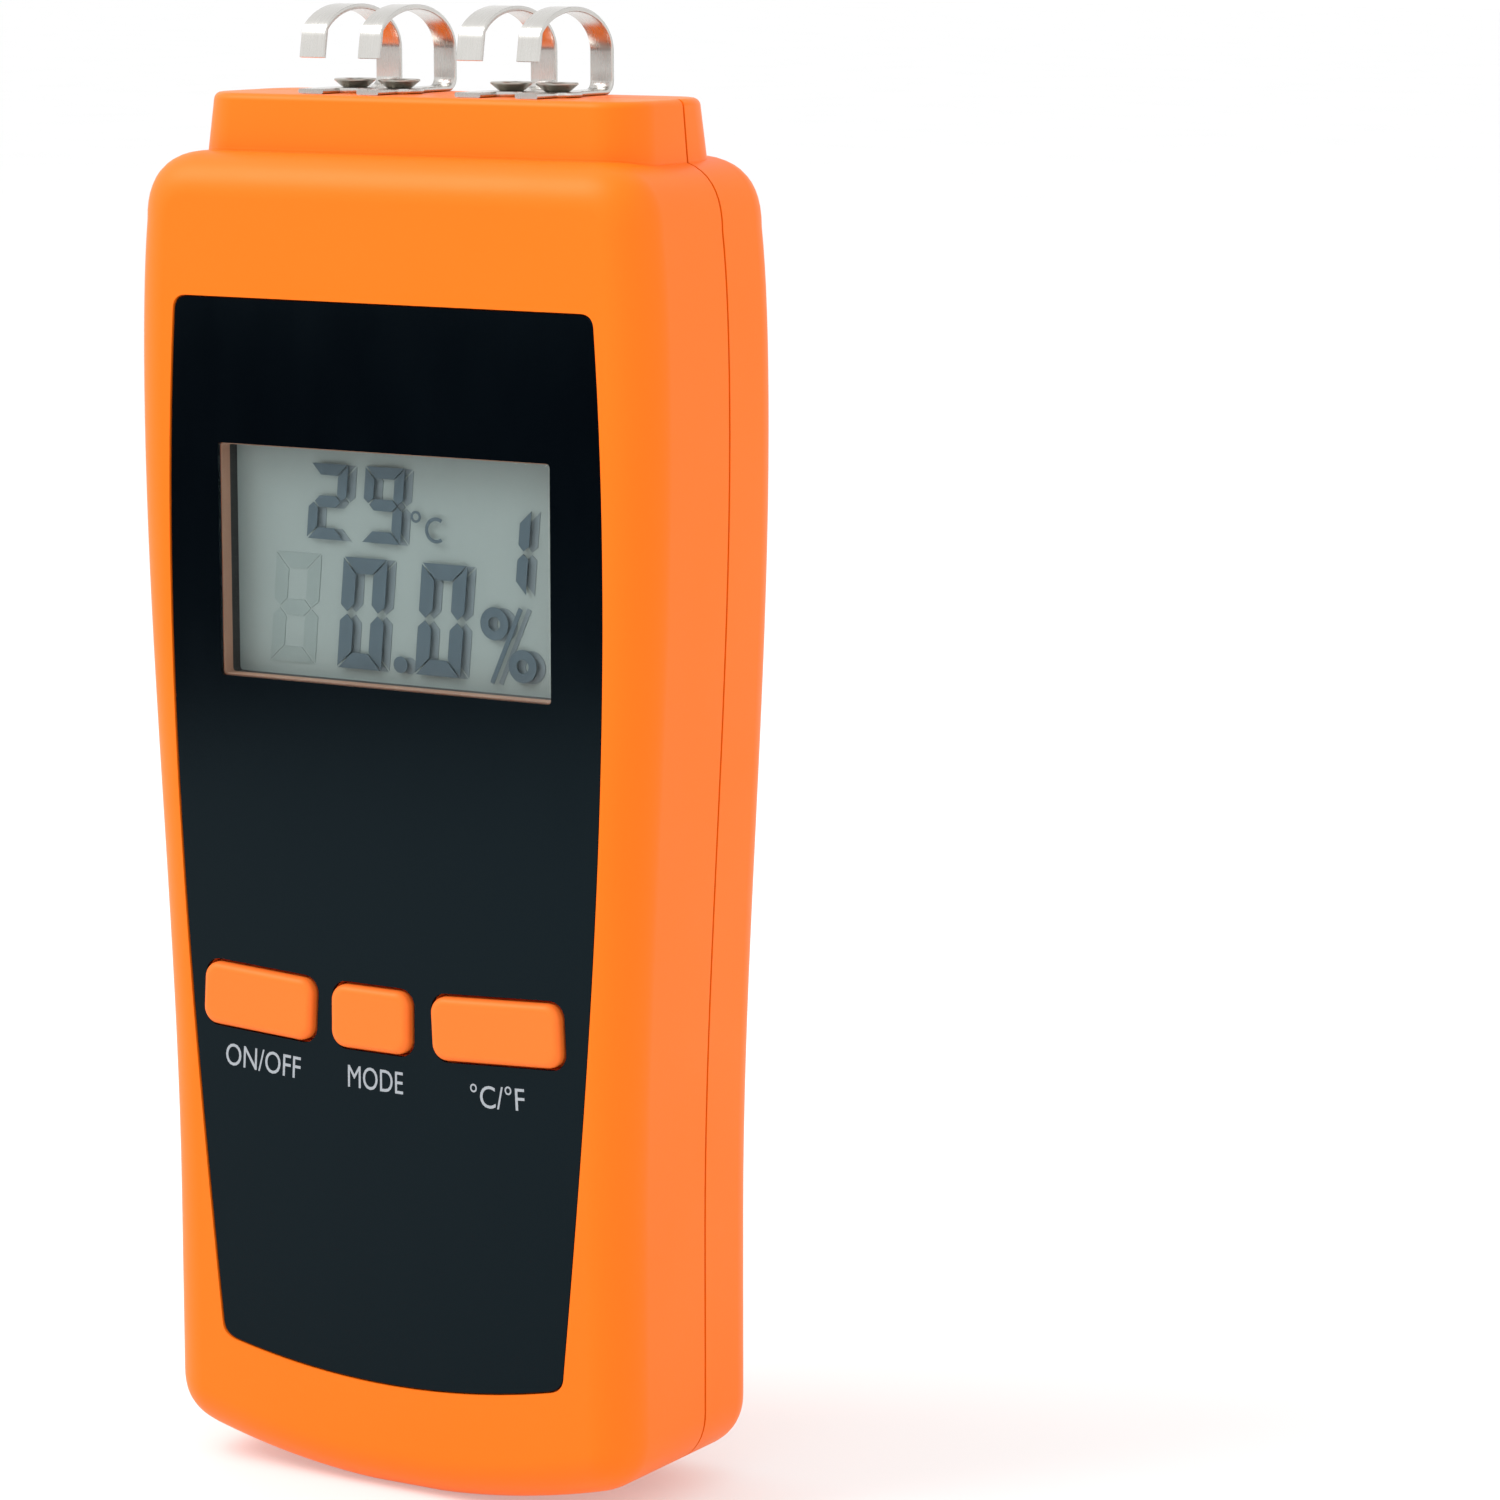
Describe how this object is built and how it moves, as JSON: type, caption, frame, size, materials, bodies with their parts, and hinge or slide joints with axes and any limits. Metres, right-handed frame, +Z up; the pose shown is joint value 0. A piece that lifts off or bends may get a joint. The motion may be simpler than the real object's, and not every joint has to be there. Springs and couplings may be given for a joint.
{
  "type": "moisture meter",
  "caption": "Handheld moisture meter: two-part case, display and keys under a recessed front panel, battery door, and sprung strip electrodes on a narrower neck.",
  "frame": {"origin": "under the middle of the standing meter: centre of its box in X and Y, and its lowest point in Z", "axes": "+Z up along the case towards the electrodes, front panel towards -Y, +X to the right seen from the front"},
  "size_m": [0.062, 0.0268, 0.1494],
  "materials": {
    "orange_plastic": "fine satin moulded texture",
    "black_panel": "glossy printed film",
    "clear_window": "clear",
    "display_glass": "grey-green reflective display",
    "white_plastic": "satin",
    "grey_rubber": "matt",
    "circuit_board": "green solder mask",
    "black_plastic": "matt",
    "battery_wrap": "printed sleeve, plain",
    "spring_steel": "nickel plated",
    "electrode_steel": "rolled spring strip, lightly polished",
    "screw_steel": "nickel plated",
    "brass": "turned",
    "red_lead": "insulated wire"
  },
  "bodies": {
    "case": {"front_shell": "orange_plastic", "rear_shell": "orange_plastic", "panel_overlay": "black_panel", "display_window": "clear_window", "display_glass": "display_glass", "display_holder": "white_plastic", "contact_strip_upper": "grey_rubber", "contact_strip_lower": "grey_rubber", "circuit_board": "circuit_board", "power_switch": "black_plastic", "mode_switch": "black_plastic", "unit_switch": "black_plastic", "main_chip": "black_plastic", "input_chip": "black_plastic", "buzzer": "black_plastic", "battery_cell_1": "battery_wrap", "contact_spring_1": "spring_steel", "electrode_foot_1": "electrode_steel", "electrode_screw_1": "screw_steel", "case_screw_1": "screw_steel", "electrode_insert_1": "brass", "electrode_lead_1": "red_lead", "battery_cell_2": "battery_wrap", "contact_spring_2": "spring_steel", "electrode_foot_2": "electrode_steel", "electrode_screw_2": "screw_steel", "case_screw_2": "screw_steel", "electrode_insert_2": "brass", "electrode_lead_2": "red_lead", "battery_cell_3": "battery_wrap", "contact_spring_3": "spring_steel", "electrode_foot_3": "electrode_steel", "electrode_screw_3": "screw_steel", "case_screw_3": "screw_steel", "electrode_insert_3": "brass", "electrode_lead_3": "red_lead", "battery_cell_4": "battery_wrap", "contact_spring_4": "spring_steel", "electrode_foot_4": "electrode_steel", "electrode_screw_4": "screw_steel", "case_screw_4": "screw_steel", "electrode_insert_4": "brass", "electrode_lead_4": "red_lead", "contact_plate_top_left": "spring_steel", "contact_plate_top_middle": "spring_steel", "contact_plate_top_right": "spring_steel", "contact_plate_bottom_left": "spring_steel", "contact_plate_bottom_right": "spring_steel"},
    "battery_door": {"battery_door": "orange_plastic"},
    "power_key": {"power_button": "orange_plastic", "power_plunger": "white_plastic"},
    "mode_key": {"mode_button": "orange_plastic", "mode_plunger": "white_plastic"},
    "unit_key": {"unit_button": "orange_plastic", "unit_plunger": "white_plastic"},
    "electrode_strip_1": {"electrode_1": "electrode_steel"},
    "electrode_strip_2": {"electrode_2": "electrode_steel"},
    "electrode_strip_3": {"electrode_3": "electrode_steel"},
    "electrode_strip_4": {"electrode_4": "electrode_steel"}
  },
  "joints": [
    {"name": "power_press", "type": "slide", "parent": "case", "child": "power_key", "axis": [0, 1, 0], "range_m": [0, 0.0008], "stiffness_N_per_m": 1500},
    {"name": "mode_press", "type": "slide", "parent": "case", "child": "mode_key", "axis": [0, 1, 0], "range_m": [0, 0.0008], "stiffness_N_per_m": 1500},
    {"name": "unit_press", "type": "slide", "parent": "case", "child": "unit_key", "axis": [0, 1, 0], "range_m": [0, 0.0008], "stiffness_N_per_m": 1500},
    {"name": "door_hinge", "type": "hinge", "parent": "case", "child": "battery_door", "pos_m": [0, 0.0125, 0.0181], "axis": [-1, 0, 0], "range_deg": [0, 75]},
    {"name": "electrode_flex_1", "type": "hinge", "parent": "case", "child": "electrode_strip_1", "pos_m": [-0.0129, 0.0082, 0.14085], "axis": [1, 0, 0], "range_deg": [0, 9], "stiffness_Nm_per_rad": 0.1},
    {"name": "electrode_flex_2", "type": "hinge", "parent": "case", "child": "electrode_strip_2", "pos_m": [-0.00585, 0.0082, 0.14085], "axis": [1, 0, 0], "range_deg": [0, 9], "stiffness_Nm_per_rad": 0.1},
    {"name": "electrode_flex_3", "type": "hinge", "parent": "case", "child": "electrode_strip_3", "pos_m": [0.00585, 0.0082, 0.14085], "axis": [1, 0, 0], "range_deg": [0, 9], "stiffness_Nm_per_rad": 0.1},
    {"name": "electrode_flex_4", "type": "hinge", "parent": "case", "child": "electrode_strip_4", "pos_m": [0.0129, 0.0082, 0.14085], "axis": [1, 0, 0], "range_deg": [0, 9], "stiffness_Nm_per_rad": 0.1}
  ]
}
